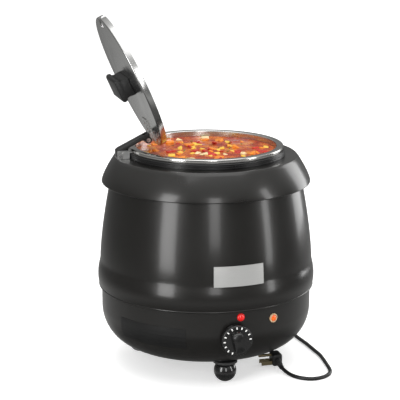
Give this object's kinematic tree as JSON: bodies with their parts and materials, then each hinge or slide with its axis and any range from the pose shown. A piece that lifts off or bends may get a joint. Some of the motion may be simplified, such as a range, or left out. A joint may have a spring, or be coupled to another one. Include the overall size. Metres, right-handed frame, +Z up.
{
  "type": "soup kettle",
  "caption": "Countertop soup kettle: painted heated body on ball feet, lift-out steel pot with a hinged inset lid, thermostat knob, pilot lamps and a mains cord.",
  "frame": {"origin": "on the floor under the kettle's axis", "axes": "+Z up along the kettle's axis, -Y to the front with the knob, -X to the lid's hinge"},
  "size_m": [0.3525, 0.453, 0.5563],
  "materials": {
    "body_paint": "dark grey glossy metallic enamel",
    "ring_black": "black moulded, satin",
    "pan_steel": "bright drawn steel",
    "element_steel": "heat-tinted steel",
    "thermostat_case": "dull plated case",
    "screw_steel": "plated steel",
    "capillary_copper": "copper tube",
    "terminal_cream": "cream moulded",
    "red_lens": "clear red lens",
    "orange_lens": "clear orange lens",
    "lamp_ring": "pale ring",
    "lamp_holder": "black moulded",
    "foot_black": "black ball, glossy",
    "washer_black": "black rubber",
    "plate_grey": "satin light grey",
    "label_black": "satin film",
    "cord_black": "black sheath",
    "plug_brass": "plated contacts",
    "pot_steel": "polished steel",
    "lid_steel": "polished steel",
    "arm_black": "black moulded",
    "handle_black": "black, finely textured",
    "knob_black": "black, glossy",
    "knob_white": "white printed scale"
  },
  "bodies": {
    "kettle": {"base_bowl": "body_paint", "upper_shell": "body_paint", "collar": "body_paint", "neck_ring": "ring_black", "water_pan": "pan_steel", "heating_element": "element_steel", "element_clamp": "element_steel", "clamp_nut": "element_steel", "thermostat": "thermostat_case", "thermostat_screws": "screw_steel", "foot_bolts": "screw_steel", "thermostat_bulb": "capillary_copper", "terminal_block": "terminal_cream", "red_lamp": "red_lens", "orange_lamp": "orange_lens", "orange_lamp_ring": "lamp_ring", "red_lamp_holder": "lamp_holder", "orange_lamp_holder": "lamp_holder", "ball_feet": "foot_black", "foot_washers": "washer_black", "name_plate": "plate_grey", "info_label": "label_black", "cord_gland": "cord_black", "cord_lead": "cord_black", "cord_coil": "cord_black", "cord_tail": "cord_black", "plug_relief": "cord_black", "plug_body": "cord_black", "plug_blades": "plug_brass", "plug_ground_pin": "plug_brass"},
    "pot": {"insert_pot": "pot_steel", "hinge_bracket": "pot_steel", "hinge_arm": "arm_black", "hinge_screws": "screw_steel", "hinge_pin": "screw_steel"},
    "lid": {"lid_shell": "lid_steel", "lid_hinge_leaf": "lid_steel", "leaf_rivets": "screw_steel", "lid_handle": "handle_black", "handle_screws": "screw_steel"},
    "knob": {"knob": "knob_black", "knob_marks": "knob_white", "knob_shaft": "screw_steel"}
  },
  "joints": [
    {"name": "pot_lift", "type": "slide", "parent": "kettle", "child": "pot", "axis": [0, 0, 1], "range_m": [0, 0.3]},
    {"name": "lid_hinge", "type": "hinge", "parent": "pot", "child": "lid", "pos_m": [-0.094, 0, 0.364], "axis": [0, 1, 0], "range_deg": [0, 114]},
    {"name": "knob_turn", "type": "hinge", "parent": "kettle", "child": "knob", "pos_m": [0, -0.17, 0.0865], "axis": [0, -1, 0], "range_deg": [0, 270]}
  ]
}
